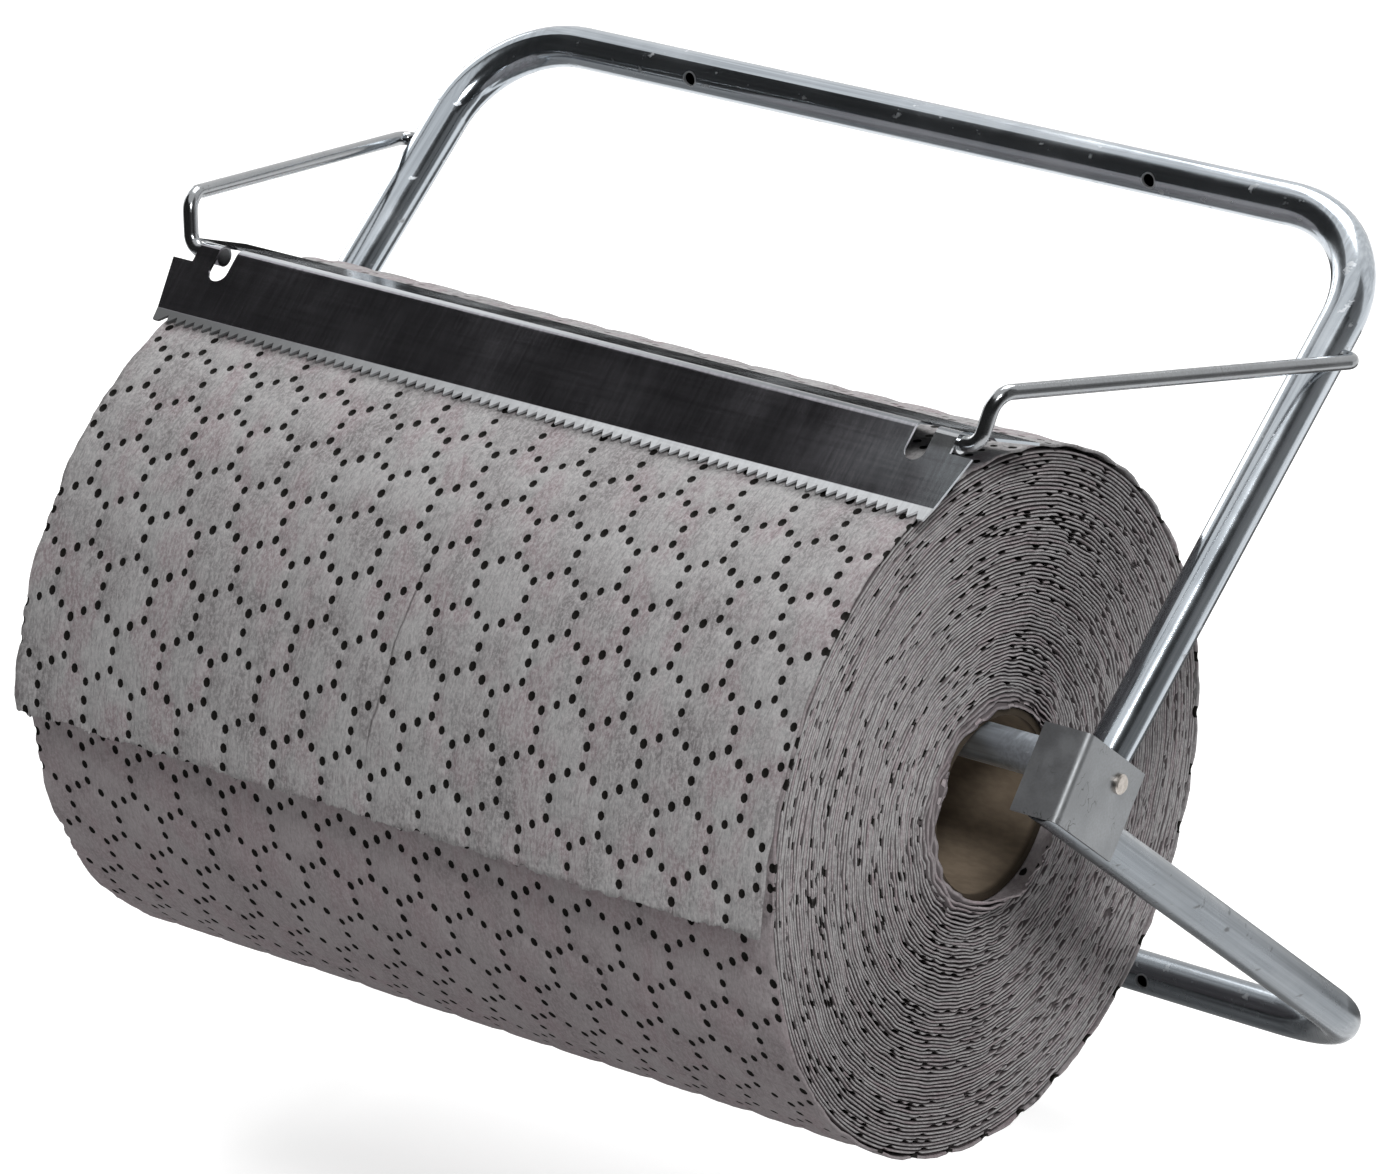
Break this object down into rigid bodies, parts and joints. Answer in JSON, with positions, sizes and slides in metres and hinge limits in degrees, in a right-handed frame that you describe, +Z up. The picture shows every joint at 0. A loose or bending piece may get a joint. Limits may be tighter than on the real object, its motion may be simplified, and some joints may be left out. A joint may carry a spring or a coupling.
{
  "type": "wall roll holder",
  "caption": "Wall-mounted roll holder: two folding bent-tube frames, a loose axle in side brackets, a toothed tear bar on wire arms and a wound roll of nonwoven sheet.",
  "frame": {"origin": "on the wall plane, midway between the two screw holes of the upper rail", "axes": "+X along the roll to the right as seen from the front, +Y into the wall, +Z up; the wall is the plane Y = 0 and the front faces -Y"},
  "size_m": [0.5236, 0.3885, 0.397],
  "materials": {
    "bright_tube": "polished",
    "satin_tube": "satin",
    "bracket_sheet": "satin",
    "rivet_steel": "satin",
    "axle_tube": "satin",
    "bar_sheet": "gloss",
    "wire_zinc": "satin",
    "card": "matte",
    "nonwoven": "matte"
  },
  "bodies": {
    "upper_frame": {"upper_frame": "bright_tube"},
    "lower_frame": {"lower_frame": "satin_tube", "left_bracket": "bracket_sheet", "right_bracket": "bracket_sheet", "left_rivet": "rivet_steel", "right_rivet": "rivet_steel"},
    "axle": {"axle": "axle_tube"},
    "roll": {"card_core": "card", "wound_roll": "nonwoven", "outer_wrap": "nonwoven"},
    "wire_arms": {"left_wire_arm": "wire_zinc", "right_wire_arm": "wire_zinc"},
    "tear_bar": {"tear_bar": "bar_sheet"}
  },
  "joints": [
    {"name": "frame_fold", "type": "hinge", "parent": "upper_frame", "child": "lower_frame", "pos_m": [0, -0.22432, -0.17646], "axis": [1, 0, 0], "range_deg": [0, 78.5]},
    {"name": "axle_turn", "type": "hinge", "parent": "lower_frame", "child": "axle", "pos_m": [0, -0.24052, -0.16608], "axis": [1, 0, 0], "continuous": true},
    {"name": "roll_turn", "type": "hinge", "parent": "lower_frame", "child": "roll", "pos_m": [0, -0.23747, -0.19512], "axis": [1, 0, 0], "continuous": true},
    {"name": "arm_lift", "type": "hinge", "parent": "upper_frame", "child": "wire_arms", "pos_m": [0, -0.06011, -0.04158], "axis": [-1, 0, 0], "range_deg": [0, 95]},
    {"name": "bar_rock", "type": "hinge", "parent": "wire_arms", "child": "tear_bar", "pos_m": [0, -0.25985, -0.02963], "axis": [-1, 0, 0], "range_deg": [0, 3.5]}
  ]
}
